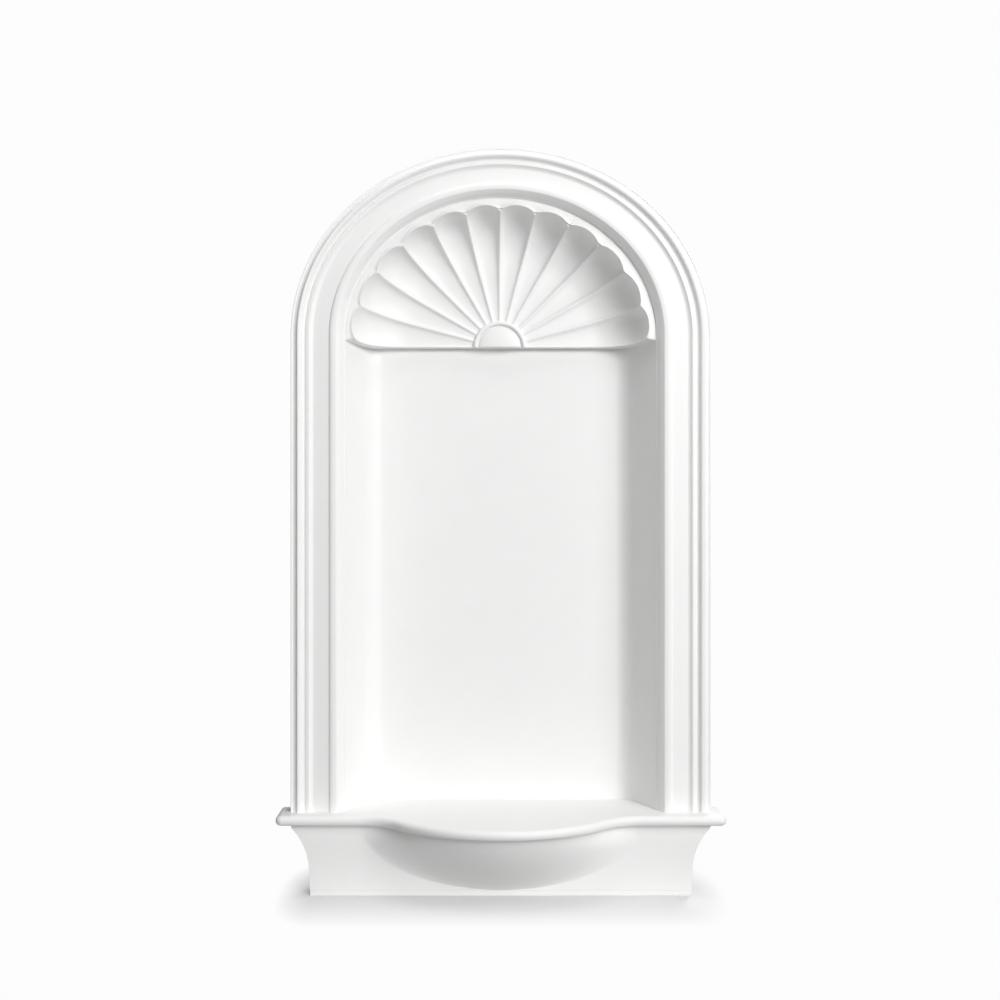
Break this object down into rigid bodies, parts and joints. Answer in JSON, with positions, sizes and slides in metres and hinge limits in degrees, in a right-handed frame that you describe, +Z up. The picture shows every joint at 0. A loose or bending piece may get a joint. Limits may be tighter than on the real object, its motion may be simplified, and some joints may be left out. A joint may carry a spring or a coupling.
{
  "type": "wall niche",
  "caption": "Recessed wall niche with a moulded arched frame, a fluted shell in its head and a bowed shelf over a coved base.",
  "frame": {"origin": "middle of the flat back of the base, on the face of the wall", "axes": "+Z up, +Y into the wall, +X to the right as seen from the room"},
  "size_m": [0.82, 0.28, 1.3716],
  "materials": {
    "primed_white": "flat white primer on smooth cast foam"
  },
  "bodies": {
    "root": {"wall_niche": "primed_white"}
  },
  "joints": []
}
